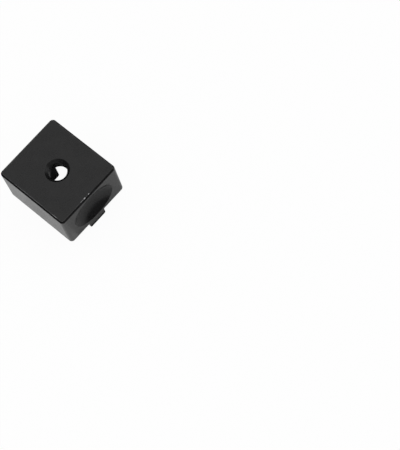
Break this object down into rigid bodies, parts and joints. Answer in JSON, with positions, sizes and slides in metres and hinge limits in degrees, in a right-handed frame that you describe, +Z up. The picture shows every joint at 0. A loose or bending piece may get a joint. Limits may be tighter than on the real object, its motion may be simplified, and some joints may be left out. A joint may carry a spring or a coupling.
{
  "type": "keyboard switch opener",
  "caption": "Small block of black anodised aluminium with a countersunk hole in the top, a square pocket below, finger scoops in both ends and pry tabs that open a key switch.",
  "frame": {"origin": "middle of the footprint, on the surface that the two pry tabs stand on", "axes": "+X from one scooped end face to the other, +Y along the width, +Z up through the stem hole"},
  "size_m": [0.026, 0.023, 0.0169],
  "materials": {
    "black_anodised": "black anodised, satin"
  },
  "bodies": {
    "root": {"switch_opener": "black_anodised"}
  },
  "joints": []
}
